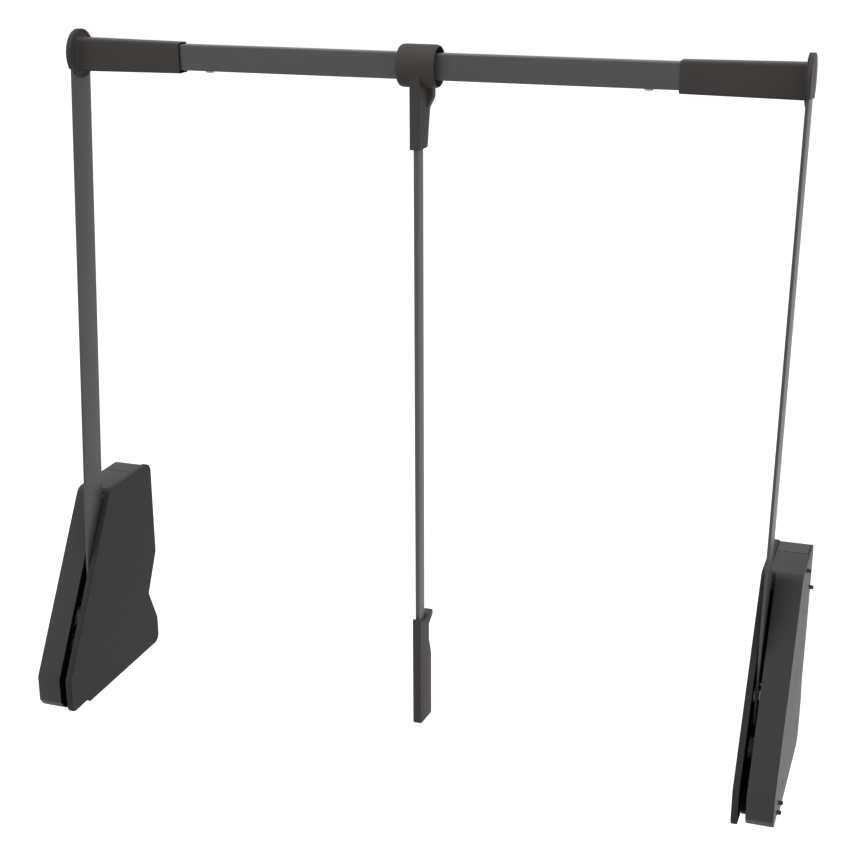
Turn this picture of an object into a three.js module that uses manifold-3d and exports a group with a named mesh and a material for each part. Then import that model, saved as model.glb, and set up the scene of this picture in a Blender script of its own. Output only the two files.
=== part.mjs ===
// Pull-down wardrobe lift: two side housings, two sprung arms, a telescopic rail and a hanging handle.
// Millimetres, +Z up. X runs from the left wall face to the right wall face, and the front is -Y.
// The origin lies on the left wall face, on the pivot axis of the arms.
import * as THREE from 'three';
import { mergeVertices } from 'three/addons/utils/BufferGeometryUtils.js';
import Module from 'manifold-3d';

const wasm = await Module();
wasm.setup();

// Driving dimensions
const overallWidth = 912;
const armReach = 675;
const armLean = THREE.MathUtils.degToRad(5);
const armSwing = THREE.MathUtils.degToRad(115);

// Fits and cuts
const clearance = 0.3;
const overrun = 1;

// Housing outline, measured from the pivot axis
const frontReach = 93.1;
const frontLean = THREE.MathUtils.degToRad(32.1);
const frontKneeDrop = 72.7;
const frontLipRise = 16.7;
const frontFootInset = 14;
const frontFootRise = 3.4;
const frontLipRadius = 5;
const frontFootEnd = 48.3;
const frontFootSlope = 2.7;
const housingTop = 134.7;
const housingDrop = 121.2;
const rearReach = 145.3;
const rearKneeRise = 8;
const notchReach = 119.1;
const notchDrop = 43.3;
const heelReach = 138.8;
const heelDrop = 87;
const topFrontRadius = 15;
const topRearRadius = 12;
const frontKneeRadius = 9;
const rearKneeRadius = 11;
const notchRadius = 3;
const heelRadius = 4;
const footRadius = 11;
const coverFootRadius = 8;
const coverLift = 1.2;

// Wall plate, which stands out below and behind the shell
const plateFootDrop = 10.8;
const plateFootStart = 20;
const plateFootRadius = 16;
const plateHeelReach = 151;
const plateHeelDrop = 74;
const plateWaistReach = 141;
const plateWaistDrop = 42;
const plateWaistRadius = 12;

// Housing depths, measured from the wall face
const plateWall = 2.8;
const bodyDepth = 30.5;
const slotWidth = 8.6;
const coverDepth = 7.5;
const coverWall = 2.7;
const coverRim = 2.2;
const shellWall = 2.8;

// Shroud
const seamReach = 105.4;
const seamDepth = 22;
const lipThickness = 1.5;
const lipDepth = 5.5;
const slotEndReach = 40.4;
const slotEndDrop = 22;
const slotEndWall = 2.8;
const slotFloorEnd = 62;

// Cover tabs
const tabLength = 13;
const tabThickness = 1.8;
const tabReach = 4;
const topTabShare = 0.62;
const footTabShare = 0.4;
const rearTabShare = 0.45;
const heelTabShare = 0.5;

// Wall pegs and fixing holes
const pegRadius = 2.5;
const pegProud = 5;
const pegHeadRadius = 3.3;
const pegHeadHeight = 1.5;
const pegPlaceShares = [[0.51, 0.946], [0.886, 0.623]];
const pegFootShares = [0.483, 0.62];
const pegFootRises = [15.1, 10.1];
const fixingHoleRadius = 2.3;
const fixingPlaceShares = [[0.55, 0.55], [0.76, -0.72], [-0.15, -0.8]];

// Arm
const armWidth = 40;
const armThickness = 3.3;
const armInset = 4.05;
const armTail = 29.3;
const armCornerRadius = 3.5;

// Pivot
const axleRadius = 4.5;
const axleBossRadius = 9;
const axleBossDepth = 19.5;
const axleBoreFloor = 5;
const bushRadius = 8.7;
const coverBossRadius = 8.5;
const coverBossDepth = 3.2;

// Hub gear, rack and damper
const gearModule = 1.5;
const hubTeeth = 26;
const pinionTeeth = 12;
const pressureAngle = THREE.MathUtils.degToRad(20);
const addendumShare = 0.9;
const dedendumShare = 1.25;
const backlash = 0.25;
const gearThickness = 7.3;
const gearSetback = 0.5;
const rivetRadius = 1.8;
const rivetHeadRadius = 3.2;
const rivetHeadHeight = 1.1;
const rivetSpread = 13.5;
const rackWidth = 6.4;
const rackBack = 4.5;
const rackTeeth = 11;
const rackFlange = 4.6;
const rackHead = 7.3;
const damperToothSteps = 10;
const damperRadius = 12.8;
const damperLength = 18;
const damperShaftRadius = 2.8;
const damperShaftLength = 7.3;
const damperSocketWall = 1.8;
const damperSocketDepth = 7.3;

// Return spring and its guide rod
const guideRadius = 3.5;
const guideInset = 21;
const guideGap = 1;
const springRadius = 9.6;
const springWireRadius = 1.2;
const springTurns = 11;
const springStepsPerTurn = 8;
const springSides = 5;
const springTopRise = 96;
const anchorThickness = 4.6;
const anchorWidth = 15.2;
const anchorBottomDrop = 50;
const rackFlangeRadius = 9.6;

// Stop buffers
const bufferThickness = 11;
const loweredStopReach = 55;
const loweredStopLength = 22;
const stopPinRadius = 2.7;
const raisedStopReach = 122;
const raisedStopLength = 14;

// Rail
const railHeight = 28.6;
const railDepth = 16;
const railCorner = 1.2;
const railWall = 1.2;
const railEndInset = 87.3;
const innerRailWall = 1.3;
const innerRailLength = 258;
const innerRailCorner = 1.2;
const clampScrewInset = 202.5;
const clampScrewRadius = 1.8;
const clampHeadRadius = 4.9;
const clampHeadHeight = 2.2;

// Rail end sleeve and end cap
const flangeRadius = 27.9;
const flangeThickness = 1.2;
const capFace = 1;
const capFootReach = 18;
const sleeveLength = 129.8;
const sleeveWall = 2.45;
const sleeveDrop = 0.7;
const sleeveTaper = 1.4;
const sleeveCorner = 3;
const sleeveEndWall = 2;
const plugLength = 10.6;
const armScrewSpread = 6.4;
const armScrewRadius = 1.8;
const armScrewHeadRadius = 3.5;
const armScrewHeadHeight = 1.6;
const armScrewGrip = 6.4;

// Handle
const collarRadius = 23.3;
const collarWall = 2.2;
const collarWidth = 44;
const collarEdgeLength = 6;
const collarEdgeDrop = 2;
const handleBushWidth = 26;
const neckWidth = 11.1;
const neckDrop = 88.7;
const neckFront = 21.5;
const neckRearTop = 17.8;
const neckRearBottom = 7.5;
const neckShoulderDrop = 44;
const gussetWidth = 23.3;
const gussetTopDrop = 32;
const gussetDepth = 12;
const barWidth = 4.9;
const barDepth = 19.9;
const barForward = 8;
const barSocket = 31;
const gripWidth = 10;
const gripTop = 657;
const gripLength = 143.5;
const gripHeelDrop = 5;
const gripFront = 21.6;
const gripRear = 20.8;
const gripWaist = 12.3;
const gripWaistTop = 19;
const gripWaistBottom = 37;
const gripSwellBottom = 63;
const gripHookReach = 26.6;
const gripHookTop = 4;
const gripHookDepth = 7;
const gripSocket = 16;
const gripCorner = 3;

// Facets of round shapes
const fineSides = 40;
const roundSides = 20;
const smallSides = 12;
const arcSteps = 4;

// Places that follow from the sizes above
const coverFace = bodyDepth + slotWidth;
const housingDepth = coverFace + coverDepth;
const armOuter = bodyDepth + armInset;
const armInner = armOuter + armThickness;
const middle = overallWidth / 2;
const railY = armReach * Math.sin(armLean);
const railZ = armReach * Math.cos(armLean);
const frontSlope = Math.tan(frontLean);
const topFrontY = frontSlope * (housingTop + frontKneeDrop) - frontReach;
const hubPitchRadius = gearModule * hubTeeth / 2;
const pinionPitchRadius = gearModule * pinionTeeth / 2;
const toothPitch = Math.PI * gearModule;
const dedendum = dedendumShare * gearModule;
const addendum = addendumShare * gearModule;
const gearInner = bodyDepth - gearSetback;
const gearOuter = gearInner - gearThickness;
const rackRoot = hubPitchRadius + dedendum;
const guideY = rackRoot + rackBack + guideGap + guideRadius;
const rackTop = rackHead + rackFlange;
const rackBottom = rackHead - rackTeeth * toothPitch;
const flangeOuter = armInner + clearance;
const flangeInner = flangeOuter + flangeThickness;
const sleeveMouth = flangeInner + sleeveLength;
const plugStart = flangeInner + sleeveEndWall;
const innerRailStart = plugStart + clearance;

const housingPlastic = { color: 0x373636, roughness: 0.55, metalness: 0 };
const trimPlastic = { color: 0x343332, roughness: 0.6, metalness: 0 };
const paintedSteel = { color: 0x4b4b4c, roughness: 0.45, metalness: 0.4 };
const bareSteel = { color: 0xb4b7ba, roughness: 0.3, metalness: 1 };
const springSteel = { color: 0x83868a, roughness: 0.35, metalness: 1 };
const gearPlastic = { color: 0xd8d6cf, roughness: 0.5, metalness: 0 };
const blackRubber = { color: 0x1b1b1b, roughness: 0.9, metalness: 0 };

// Turns a closed three.js geometry into a solid that can be joined and cut.
function toSolid(geometry) {
  const plain = geometry.clone();
  plain.deleteAttribute('normal');
  plain.deleteAttribute('uv');
  const merged = mergeVertices(plain);
  const vertProperties = new Float32Array(merged.attributes.position.array);
  const triVerts = new Uint32Array(merged.index.array);
  return new wasm.Manifold(new wasm.Mesh({ numProp: 3, vertProperties, triVerts }));
}

function toGeometry(solid) {
  const mesh = solid.getMesh();
  const geometry = new THREE.BufferGeometry();
  geometry.setAttribute('position', new THREE.BufferAttribute(mesh.vertProperties, 3));
  geometry.setIndex(new THREE.BufferAttribute(mesh.triVerts, 1));
  return geometry;
}

function join(...solids) {
  return solids.reduce((all, solid) => all.add(solid));
}

function cut(solid, ...tools) {
  return tools.reduce((rest, tool) => rest.subtract(tool), solid);
}

// A plate whose outline lies in the YZ plane, from one X to another.
function prism(outline, fromX, toX) {
  const shape = new THREE.Shape(outline.map(([y, z]) => new THREE.Vector2(y, z)));
  const geometry = new THREE.ExtrudeGeometry(shape, { depth: toX - fromX, bevelEnabled: false });
  const axes = new THREE.Matrix4().makeBasis(
    new THREE.Vector3(0, 1, 0),
    new THREE.Vector3(0, 0, 1),
    new THREE.Vector3(1, 0, 0),
  );
  geometry.applyMatrix4(axes);
  geometry.translate(fromX, 0, 0);
  return toSolid(geometry);
}

function box(fromX, toX, fromY, toY, fromZ, toZ) {
  return prism([[fromY, fromZ], [toY, fromZ], [toY, toZ], [fromY, toZ]], fromX, toX);
}

function circle(radius, y, z, sides) {
  return Array.from({ length: sides }, (_, index) => {
    const angle = (2 * Math.PI * (index + 1 / 2)) / sides;
    return [y + radius * Math.cos(angle), z + radius * Math.sin(angle)];
  });
}

// A round bar along X.
function bar(radius, y, z, fromX, toX, sides = roundSides) {
  return prism(circle(radius, y, z, sides), fromX, toX);
}

// A round bar along Z.
function upright(radius, x, y, fromZ, toZ, sides = roundSides) {
  const geometry = new THREE.CylinderGeometry(radius, radius, toZ - fromZ, sides);
  geometry.rotateX(Math.PI / 2);
  geometry.translate(x, y, (fromZ + toZ) / 2);
  return toSolid(geometry);
}

// Rounds each corner [y, z, radius] of an outline that runs anticlockwise.
function rounded(corners) {
  return corners.flatMap(([y, z, radius], index) => {
    const corner = new THREE.Vector2(y, z);
    if (!radius) return [[y, z]];
    const before = corners[(index + corners.length - 1) % corners.length];
    const after = corners[(index + 1) % corners.length];
    const back = new THREE.Vector2(before[0], before[1]).sub(corner);
    const ahead = new THREE.Vector2(after[0], after[1]).sub(corner);
    const room = Math.min(back.length(), ahead.length()) / 2;
    back.normalize();
    ahead.normalize();
    const half = Math.acos(THREE.MathUtils.clamp(back.dot(ahead), -1, 1)) / 2;
    const used = Math.min(radius, room * Math.tan(half));
    const towards = back.clone().add(ahead).normalize();
    const centre = corner.clone().addScaledVector(towards, used / Math.sin(half));
    const start = corner.clone().addScaledVector(back, used / Math.tan(half)).sub(centre);
    const end = corner.clone().addScaledVector(ahead, used / Math.tan(half)).sub(centre);
    const turn = Math.atan2(start.cross(end), start.dot(end));
    return Array.from({ length: arcSteps + 1 }, (_, step) => {
      const point = start.clone().rotateAround(new THREE.Vector2(), (turn * step) / arcSteps);
      return [centre.x + point.x, centre.y + point.y];
    });
  });
}

// Moves every edge of an anticlockwise outline inwards by one distance.
function inset(corners, distance) {
  const edges = corners.map(([y, z], index) => {
    const [nextY, nextZ] = corners[(index + 1) % corners.length];
    const along = new THREE.Vector2(nextY - y, nextZ - z).normalize();
    const point = new THREE.Vector2(y - along.y * distance, z + along.x * distance);
    return { point, along };
  });
  return corners.map(([, , radius], index) => {
    const before = edges[(index + edges.length - 1) % edges.length];
    const after = edges[index];
    const turn = before.along.cross(after.along);
    const reach = after.point.clone().sub(before.point).cross(after.along) / turn;
    const corner = before.point.clone().addScaledVector(before.along, reach);
    const change = turn > 0 ? -distance : distance;
    return [corner.x, corner.y, radius ? Math.max(radius + change, 0) : 0];
  });
}

// A rectangle with round corners in the YZ plane, centred on the rail axis.
function railSection(height, depth, corner) {
  return rounded([
    [railY - depth / 2, railZ - height / 2, corner],
    [railY + depth / 2, railZ - height / 2, corner],
    [railY + depth / 2, railZ + height / 2, corner],
    [railY - depth / 2, railZ + height / 2, corner],
  ]);
}

// A place on the arm: how far along it from the pivot and how far behind its centre line.
function onArm(along, behind, swing = 0) {
  const angle = armLean - swing;
  const y = along * Math.sin(angle) + behind * Math.cos(angle);
  const z = along * Math.cos(angle) - behind * Math.sin(angle);
  return [y, z];
}

// The lower rear edge, which body and cover share.
const rearCorners = [
  [heelReach, -housingDrop, footRadius],
  [heelReach, -heelDrop, heelRadius],
  [notchReach, -notchDrop, notchRadius],
  [rearReach, rearKneeRise, rearKneeRadius],
];
const frontFootZ = frontFootRise - housingDrop;

// The upper and front edges of an outline, down to the front knee.
function upperCorners(top) {
  return [
    [rearReach, top, topRearRadius],
    [topFrontY, top, topFrontRadius],
    [-frontReach, -frontKneeDrop, frontKneeRadius],
  ];
}

const frontCorners = [
  [-frontReach, frontLipRise - housingDrop, frontLipRadius],
  [frontFootInset - frontReach, frontFootZ, frontLipRadius],
  [-frontFootEnd - frontFootSlope, frontFootZ, 0],
  [-frontFootEnd, -housingDrop, 0],
];
const bodyCorners = [...rearCorners, ...upperCorners(housingTop), ...frontCorners];
const coverCorners = [
  ...rearCorners,
  ...upperCorners(housingTop + coverLift),
  [-frontReach, frontFootZ, coverFootRadius],
  [-frontFootEnd - frontFootSlope, frontFootZ, 0],
  [-frontFootEnd, -housingDrop, 0],
];
const plateCorners = [
  [plateHeelReach, -housingDrop - plateFootDrop, plateFootRadius],
  [plateHeelReach, -plateHeelDrop, plateWaistRadius],
  [plateWaistReach, -plateWaistDrop, plateWaistRadius],
  [rearReach, rearKneeRise, rearKneeRadius],
  ...upperCorners(housingTop),
  ...frontCorners,
  [-plateFootStart, -housingDrop - plateFootDrop, 0],
];

function housingPlace([yShare, zShare]) {
  const y = yShare * (yShare > 0 ? rearReach : frontReach);
  const z = zShare * (zShare > 0 ? housingTop : housingDrop);
  return [y, z];
}

// Two pegs near the top and the rear, and two near the front foot.
function pegPlaces() {
  const upper = pegPlaceShares.map(housingPlace);
  const lower = pegFootShares.map((share, index) => [-share * frontReach, pegFootRises[index] - housingDrop]);
  return [...upper, ...lower];
}

// The front strip of the housing's edge wall, which the shroud makes up.
function shroudZone(gap, fromX, toX) {
  return prism([
    [-frontReach - overrun, -housingDrop - overrun],
    [frontFootInset - frontReach - gap, -housingDrop - overrun],
    [frontFootInset - frontReach - gap, -frontKneeDrop],
    [seamReach - gap, housingTop - seamDepth],
    [seamReach - gap, housingTop + overrun],
    [-frontReach - overrun, housingTop + overrun],
  ], fromX, toX);
}

// The slot that the arm swings in: along the front and under its foot.
function slotZone(gap) {
  return prism([
    [-frontReach - overrun, -housingDrop - overrun],
    [-slotFloorEnd, -housingDrop - overrun],
    [-slotFloorEnd, -frontKneeDrop],
    [slotEndReach - gap, slotEndReach],
    [slotEndReach - gap, housingTop + overrun],
    [-frontReach - overrun, housingTop + overrun],
  ], bodyDepth, coverFace + overrun);
}

function edgeWall(fromX, toX) {
  const outside = prism(rounded(bodyCorners), fromX, toX);
  const inside = prism(rounded(inset(bodyCorners, shellWall)), fromX - overrun, toX + overrun);
  return cut(outside, inside);
}

function rivetPlaces() {
  return [-rivetSpread, rivetSpread].map((along) => onArm(along, 0));
}

// The strip along the front and the top that the shroud takes up.
function shroudBand() {
  const inside = rounded(inset(bodyCorners, shellWall + clearance));
  return cut(
    shroudZone(0, -overrun, coverFace + overrun),
    prism(inside, -2 * overrun, coverFace + 2 * overrun),
  );
}

function bodyShell() {
  const plate = prism(rounded(plateCorners), 0, plateWall);
  const walls = cut(edgeWall(0, coverFace - clearance), slotZone(0));
  const axleBoss = bar(axleBossRadius, 0, 0, 0, axleBossDepth);
  const [damperY, damperZ] = damperPlace();
  const socketRadius = damperRadius + clearance;
  const socket = cut(
    bar(socketRadius + damperSocketWall, damperY, damperZ, 0, plateWall + damperSocketDepth),
    bar(socketRadius, damperY, damperZ, plateWall, housingDepth),
  );
  const post = stopBlock(0, bodyDepth);
  const [stopY, stopZ] = loweredStopPlace();
  const stopPin = bar(stopPinRadius, stopY, stopZ, bodyDepth - overrun, armInner, smallSides);
  const anchors = [springTopRise, -anchorBottomDrop - anchorThickness].map((z) => box(
    0,
    guideInset + anchorWidth / 2,
    guideY - anchorWidth / 2,
    guideY + anchorWidth / 2,
    z,
    z + anchorThickness,
  ));
  const guideHole = upright(
    guideRadius + clearance,
    guideInset,
    guideY,
    -anchorBottomDrop - anchorThickness + railWall,
    springTopRise + anchorThickness - railWall,
  );
  const axleBore = bar(axleRadius + clearance, 0, 0, axleBoreFloor, housingDepth);
  const pegHoles = pegPlaces().map((place) => (
    bar(pegRadius + clearance, ...place, -overrun, plateWall + overrun, smallSides)
  ));
  const fixingHoles = fixingPlaceShares.map((shares) => (
    bar(fixingHoleRadius, ...housingPlace(shares), -overrun, plateWall + overrun, smallSides)
  ));
  return cut(
    join(plate, walls, axleBoss, socket, post, stopPin, ...anchors),
    shroudBand(),
    guideHole,
    axleBore,
    ...pegHoles,
    ...fixingHoles,
  );
}

function frontShroud() {
  const zone = shroudZone(clearance, 0, coverFace - clearance);
  const wall = edgeWall(0, coverFace - clearance).intersect(zone);
  const lipOutside = prism(rounded(inset(bodyCorners, shellWall / 2)), bodyDepth - lipThickness, bodyDepth);
  const lipInside = prism(rounded(inset(bodyCorners, shellWall + lipDepth)), 0, housingDepth);
  const lip = cut(lipOutside, lipInside).intersect(zone);
  const slotEnd = box(
    bodyDepth - lipThickness,
    coverFace - clearance,
    slotEndReach,
    slotEndReach + slotEndWall,
    housingTop - slotEndDrop,
    housingTop,
  ).intersect(prism(rounded(inset(bodyCorners, shellWall / 2)), 0, housingDepth));
  return join(cut(wall, slotZone(0)), lip, slotEnd);
}

function innerCover() {
  const face = prism(rounded(coverCorners), housingDepth - coverWall, housingDepth);
  const rim = cut(
    prism(rounded(coverCorners), coverFace, housingDepth),
    prism(rounded(inset(coverCorners, coverRim)), coverFace - overrun, housingDepth),
  );
  const bossStart = housingDepth - coverWall - coverBossDepth;
  const boss = cut(
    bar(coverBossRadius, 0, 0, bossStart, housingDepth),
    bar(axleRadius + clearance, 0, 0, bossStart - overrun, housingDepth - coverWall),
  );
  return join(face, rim, boss, ...coverTabs());
}

// Snap tabs of the cover, which lie behind the body's edge wall.
function coverTabs() {
  const gap = shellWall + clearance;
  const fromX = coverFace - tabReach;
  const root = housingDepth - coverWall + overrun;
  const topEdge = housingTop - gap;
  const rearEdge = rearReach - gap;
  const heelEdge = heelReach - gap;
  const footEdge = gap - housingDrop;
  const topY = topTabShare * rearReach;
  const footY = footTabShare * rearReach;
  const rearZ = rearTabShare * housingTop;
  const heelZ = -heelDrop - heelTabShare * (housingDrop - heelDrop);
  const half = tabLength / 2;
  const heelHalf = half / 2;
  return [
    box(fromX, root, topY - half, topY + half, topEdge - tabThickness, topEdge),
    box(fromX, root, footY - half, footY + half, footEdge, footEdge + tabThickness),
    box(fromX, root, rearEdge - tabThickness, rearEdge, rearZ - half, rearZ + half),
    box(fromX, root, heelEdge - tabThickness, heelEdge, heelZ - heelHalf, heelZ + heelHalf),
  ];
}

function wallPeg(place) {
  const headStart = plateWall + clearance;
  return join(
    bar(pegRadius, ...place, -pegProud, headStart + overrun, smallSides),
    bar(pegHeadRadius, ...place, headStart, headStart + pegHeadHeight, smallSides),
  );
}

function pivotAxle() {
  return bar(axleRadius, 0, 0, axleBoreFloor + clearance, housingDepth - coverWall - clearance);
}

function ring(outerRadius, innerRadius, fromX, toX) {
  return cut(
    bar(outerRadius, 0, 0, fromX, toX),
    bar(innerRadius, 0, 0, fromX - overrun, toX + overrun),
  );
}

function thrustWasher() {
  return ring(bushRadius, axleRadius + clearance, axleBossDepth + clearance, gearOuter - clearance);
}

function innerBush() {
  const bossStart = housingDepth - coverWall - coverBossDepth;
  return ring(bushRadius, axleRadius + clearance, armInner + clearance, bossStart - clearance);
}

// An involute gear's outline about a centre, with one tooth pointing along the phase angle.
function gearOutline(teeth, phase, y, z) {
  const pitchRadius = gearModule * teeth / 2;
  const baseRadius = pitchRadius * Math.cos(pressureAngle);
  const rootRadius = pitchRadius - dedendum;
  const tipRadius = pitchRadius + addendum;
  const involute = (angle) => Math.tan(angle) - angle;
  const pitchHalf = (toothPitch / 2 - backlash) / (2 * pitchRadius);
  const halfAngle = (radius) => {
    const flank = Math.acos(Math.min(baseRadius / radius, 1));
    return pitchHalf + involute(pressureAngle) - involute(flank);
  };
  const radii = [rootRadius, Math.max(baseRadius, rootRadius), pitchRadius, tipRadius];
  const flank = radii.map((radius) => [radius, halfAngle(radius)]);
  const rising = flank.map(([radius, half]) => [radius, -half]);
  const falling = [...flank].reverse();
  return Array.from({ length: teeth }, (_, tooth) => {
    const middleAngle = phase + (2 * Math.PI * tooth) / teeth;
    return [...rising, ...falling].map(([radius, offset]) => [
      y + radius * Math.cos(middleAngle + offset),
      z + radius * Math.sin(middleAngle + offset),
    ]);
  }).flat();
}

function hubGear() {
  const gear = prism(gearOutline(hubTeeth, 0, 0, 0), gearOuter, gearInner);
  const hub = bar(bushRadius, 0, 0, gearInner - overrun, armOuter - clearance);
  const bore = bar(axleRadius + clearance, 0, 0, 0, housingDepth);
  const rivetHoles = rivetPlaces().map((place) => (
    bar(rivetRadius + clearance, ...place, 0, housingDepth, smallSides)
  ));
  return cut(join(gear, hub), bore, ...rivetHoles);
}

function hubRivet(place) {
  const headOuter = gearOuter - clearance;
  const headInner = armInner + clearance;
  return join(
    bar(rivetRadius, ...place, headOuter - rivetHeadHeight, headInner + rivetHeadHeight, smallSides),
    bar(rivetHeadRadius, ...place, headOuter - rivetHeadHeight, headOuter, smallSides),
    bar(rivetHeadRadius, ...place, headInner, headInner + rivetHeadHeight, smallSides),
  );
}

// The rack slides up its guide rod as the arm comes down, and its top flange presses the spring.
function gearRack() {
  const slope = Math.tan(pressureAngle);
  const pitchHalf = (toothPitch / 2 - backlash) / 2;
  const rootHalf = pitchHalf + dedendum * slope;
  const tipHalf = pitchHalf - addendum * slope;
  const tip = hubPitchRadius - addendum;
  const firstTooth = Math.ceil(rackBottom / toothPitch);
  const teeth = Array.from({ length: rackTeeth }, (_, index) => {
    const centre = (firstTooth + index - 1 / 2) * toothPitch;
    return [
      [rackRoot, centre - rootHalf],
      [tip, centre - tipHalf],
      [tip, centre + tipHalf],
      [rackRoot, centre + rootHalf],
    ];
  }).flat();
  const low = rackBottom - rackFlange;
  const outline = [[rackRoot + rackBack, rackTop], [rackRoot + rackBack, low], [rackRoot, low]];
  const width = rackWidth / 2;
  const gearMiddle = (gearInner + gearOuter) / 2;
  const comb = prism([...teeth, [rackRoot, rackTop], ...outline.slice(0, 2), [rackRoot, low]].reverse(),
    gearMiddle - width, gearMiddle + width);
  const flanges = [rackTop - rackFlange, low].map((z) => cut(
    join(
      upright(rackFlangeRadius, guideInset, guideY, z, z + rackFlange),
      box(guideInset, gearMiddle + width, rackRoot, guideY, z, z + rackFlange),
    ),
    upright(guideRadius + clearance, guideInset, guideY, z - overrun, z + rackFlange + overrun),
  ));
  return join(comb, ...flanges);
}

function guideRod() {
  return upright(
    guideRadius,
    guideInset,
    guideY,
    -anchorBottomDrop - anchorThickness + railWall + clearance,
    springTopRise + anchorThickness - railWall - clearance,
  );
}

// The spring's wire as one unbroken tube along a helix.
function returnSpring() {
  const coilRadius = springRadius - springWireRadius;
  const low = rackTop + clearance + springWireRadius;
  const high = springTopRise - clearance - springWireRadius;
  const steps = springTurns * springStepsPerTurn;
  const centres = Array.from({ length: steps + 1 }, (_, step) => {
    const angle = (2 * Math.PI * step) / springStepsPerTurn;
    return new THREE.Vector3(
      guideInset + coilRadius * Math.cos(angle),
      guideY + coilRadius * Math.sin(angle),
      low + ((high - low) * step) / steps,
    );
  });
  const positions = centres.flatMap((centre, step) => {
    const angle = (2 * Math.PI * step) / springStepsPerTurn;
    const outward = new THREE.Vector3(Math.cos(angle), Math.sin(angle), 0);
    return Array.from({ length: springSides }, (_, side) => {
      const round = (2 * Math.PI * side) / springSides;
      const point = centre.clone().addScaledVector(outward, springWireRadius * Math.cos(round));
      point.z += springWireRadius * Math.sin(round);
      return point.toArray();
    }).flat();
  });
  const index = [];
  for (let step = 0; step < steps; step += 1) {
    for (let side = 0; side < springSides; side += 1) {
      const next = (side + 1) % springSides;
      const here = step * springSides;
      const there = here + springSides;
      index.push(here + side, there + side, there + next);
      index.push(here + side, there + next, here + next);
    }
  }
  const last = steps * springSides;
  for (let side = 1; side < springSides - 1; side += 1) {
    index.push(0, side, side + 1);
    index.push(last, last + side + 1, last + side);
  }
  const geometry = new THREE.BufferGeometry();
  geometry.setAttribute('position', new THREE.Float32BufferAttribute(positions, 3));
  geometry.setIndex(index);
  console.log('least gap between spring turns', leastTurnGap(centres).toFixed(2));
  return toSolid(geometry);
}

function leastTurnGap(centres) {
  let least = Infinity;
  centres.forEach((centre, step) => {
    centres.slice(step + springStepsPerTurn / 2).forEach((other) => {
      least = Math.min(least, centre.distanceTo(other));
    });
  });
  return least - 2 * springWireRadius;
}

function damperPlace() {
  const angle = -(2 * Math.PI * damperToothSteps) / hubTeeth;
  const distance = hubPitchRadius + pinionPitchRadius;
  return [distance * Math.cos(angle), distance * Math.sin(angle)];
}

function damperBody() {
  const [y, z] = damperPlace();
  const end = plateWall + clearance + damperLength;
  return cut(
    bar(damperRadius, y, z, plateWall + clearance, end),
    bar(damperShaftRadius + clearance, y, z, end - damperShaftLength, end + overrun, smallSides),
  );
}

function damperPinion() {
  const [y, z] = damperPlace();
  const towardsHub = Math.PI - (2 * Math.PI * damperToothSteps) / hubTeeth;
  const phase = towardsHub + Math.PI / pinionTeeth;
  const shaftEnd = plateWall + clearance + damperLength - damperShaftLength + clearance;
  return join(
    prism(gearOutline(pinionTeeth, phase, y, z), gearOuter + clearance, gearInner - clearance),
    bar(damperShaftRadius, y, z, shaftEnd, gearInner - clearance, smallSides),
  );
}

function loweredStopPlace() {
  const across = armWidth / 2 + clearance + bufferThickness / 2;
  return onArm(loweredStopReach, -across, armSwing);
}

// A block under the lowered arm, square to it.
function stopBlock(fromX, toX) {
  const near = -armWidth / 2 - clearance;
  const far = near - bufferThickness;
  const start = loweredStopReach - loweredStopLength / 2;
  const end = loweredStopReach + loweredStopLength / 2;
  const places = [[start, near], [end, near], [end, far], [start, far]];
  return prism(places.map(([along, behind]) => onArm(along, behind, armSwing)), fromX, toX);
}

function loweredStopBuffer() {
  const [y, z] = loweredStopPlace();
  return cut(
    stopBlock(bodyDepth + clearance, armInner),
    bar(stopPinRadius + clearance, y, z, bodyDepth, coverFace, smallSides),
  );
}

// A wedge behind the raised arm, with its back flat against the end of the slot.
function raisedStopBuffer() {
  const near = armWidth / 2 + clearance;
  const low = onArm(raisedStopReach - raisedStopLength / 2, near);
  const high = onArm(raisedStopReach + raisedStopLength / 2, near);
  const back = slotEndReach - clearance;
  return prism([low, [back, low[1]], [back, high[1]], high], armOuter - clearance, armInner + clearance);
}

function arm() {
  const half = armWidth / 2;
  const tail = rounded([
    [...onArm(-armTail, -half), armCornerRadius],
    [...onArm(-armTail, half), armCornerRadius],
    [...onArm(armReach, half), 0],
    [...onArm(armReach, -half), 0],
  ]);
  const blade = prism(tail, armOuter, armInner);
  const head = bar(half, railY, railZ, armOuter, armInner, fineSides);
  const bore = bar(axleRadius + clearance, 0, 0, 0, housingDepth);
  const rivetHoles = rivetPlaces().map((place) => (
    bar(rivetRadius + clearance, ...place, 0, housingDepth, smallSides)
  ));
  const screwHoles = armScrewPlaces().flatMap((place) => [
    bar(armScrewRadius + clearance, ...place, 0, housingDepth, smallSides),
    bar(armScrewHeadRadius + clearance, ...place, 0, armOuter + armScrewHeadHeight + clearance, smallSides),
  ]);
  return cut(join(blade, head), bore, ...rivetHoles, ...screwHoles);
}

function armScrewPlaces() {
  return [-armScrewSpread, armScrewSpread].map((offset) => onArm(armReach + offset, 0));
}

function armScrew(place) {
  return join(
    bar(armScrewHeadRadius, ...place, armOuter, armOuter + armScrewHeadHeight, smallSides),
    bar(armScrewRadius, ...place, armOuter, plugStart + armScrewGrip, smallSides),
  );
}

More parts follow.
